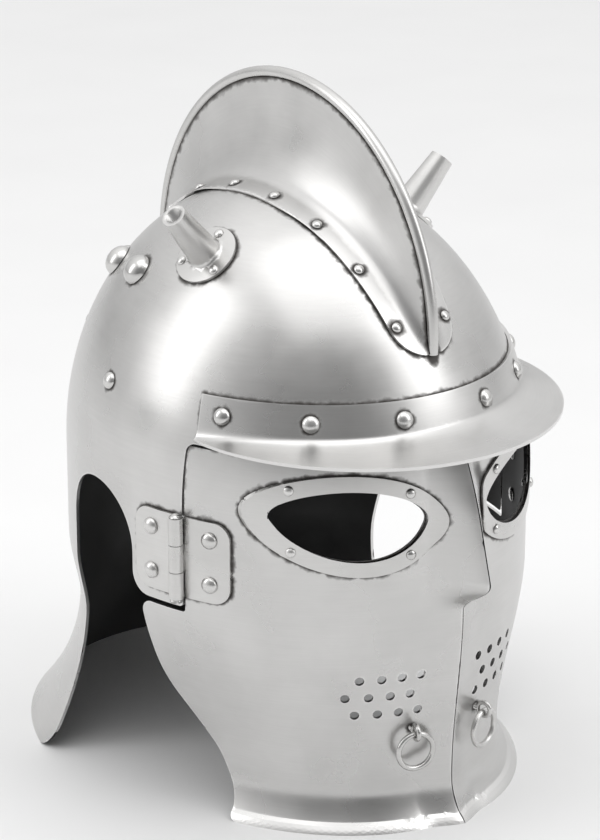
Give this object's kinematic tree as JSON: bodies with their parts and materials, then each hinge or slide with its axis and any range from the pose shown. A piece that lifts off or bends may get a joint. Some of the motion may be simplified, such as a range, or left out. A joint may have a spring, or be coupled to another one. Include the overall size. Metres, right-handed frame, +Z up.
{
  "type": "gladiator helmet",
  "caption": "Steel gladiator helmet with a tall crest, flared neck guard, plume sockets and a face visor in halves that swing open on temple hinges.",
  "frame": {"origin": "on the table under the middle of the helmet's bounding box, as it stands on its rims", "axes": "+Z up through the crest, the wearer faces -Y, the wearer's left is +X"},
  "size_m": [0.2126, 0.2921, 0.3286],
  "materials": {
    "skull_steel": "satin polished with soft brushing, darker at seams and edges",
    "peak_steel": "satin polished",
    "crest_steel": "satin polished, darker along the foot",
    "visor_steel": "satin polished with soft brushing",
    "fitting_steel": "brushed",
    "wire_steel": "polished by handling",
    "rivet_steel": "hammered and polished",
    "liner_leather": "black dyed leather, matt flesh side and worn edges",
    "lace_leather": "dark brown round thong"
  },
  "bodies": {
    "helmet": {"brow_peak": "peak_steel", "brow_rivets": "rivet_steel", "crest_ridge": "fitting_steel", "crest_shell_left": "crest_steel", "crest_shell_right": "crest_steel", "crest_tacks_left": "rivet_steel", "crest_tacks_right": "rivet_steel", "dome_studs_left": "rivet_steel", "dome_studs_right": "rivet_steel", "hinge_pin_left": "wire_steel", "hinge_pin_right": "wire_steel", "liner_band": "liner_leather", "liner_lace": "lace_leather", "liner_rivets": "rivet_steel", "liner_tongue_1": "liner_leather", "liner_tongue_2": "liner_leather", "liner_tongue_3": "liner_leather", "liner_tongue_4": "liner_leather", "liner_tongue_5": "liner_leather", "liner_tongue_6": "liner_leather", "liner_tongue_7": "liner_leather", "liner_tongue_8": "liner_leather", "plume_socket_left": "fitting_steel", "plume_socket_right": "fitting_steel", "plume_socket_tacks_left": "rivet_steel", "plume_socket_tacks_right": "rivet_steel", "skull": "skull_steel", "skull_hinge_leaf_left": "fitting_steel", "skull_hinge_leaf_right": "fitting_steel", "skull_hinge_rivets_left": "rivet_steel", "skull_hinge_rivets_right": "rivet_steel"},
    "visor_half_left": {"visor_left": "visor_steel", "eye_frame_left": "fitting_steel", "eye_frame_tacks_left": "rivet_steel", "visor_hinge_leaf_left": "fitting_steel", "visor_hinge_rivets_left": "rivet_steel", "tie_eye_left": "wire_steel"},
    "chin_ring_left": {"tie_ring_left": "wire_steel"},
    "visor_half_right": {"visor_right": "visor_steel", "eye_frame_right": "fitting_steel", "eye_frame_tacks_right": "rivet_steel", "visor_hinge_leaf_right": "fitting_steel", "visor_hinge_rivets_right": "rivet_steel", "tie_eye_right": "wire_steel"},
    "chin_ring_right": {"tie_ring_right": "wire_steel"}
  },
  "joints": [
    {"name": "visor_left_hinge", "type": "hinge", "parent": "helmet", "child": "visor_half_left", "pos_m": [0.09962, -0.04565, 0.129], "axis": [0, 0, 1], "range_deg": [0, 110]},
    {"name": "chin_ring_left_swing", "type": "hinge", "parent": "visor_half_left", "child": "chin_ring_left", "pos_m": [0.02029, -0.11937, 0.0475], "axis": [-0.9629, -0.2699, 0], "range_deg": [-6, 80]},
    {"name": "visor_right_hinge", "type": "hinge", "parent": "helmet", "child": "visor_half_right", "pos_m": [-0.09962, -0.04565, 0.129], "axis": [0, 0, -1], "range_deg": [0, 110]},
    {"name": "chin_ring_right_swing", "type": "hinge", "parent": "visor_half_right", "child": "chin_ring_right", "pos_m": [-0.02029, -0.11937, 0.0475], "axis": [-0.9629, 0.2699, 0], "range_deg": [-6, 80]}
  ]
}
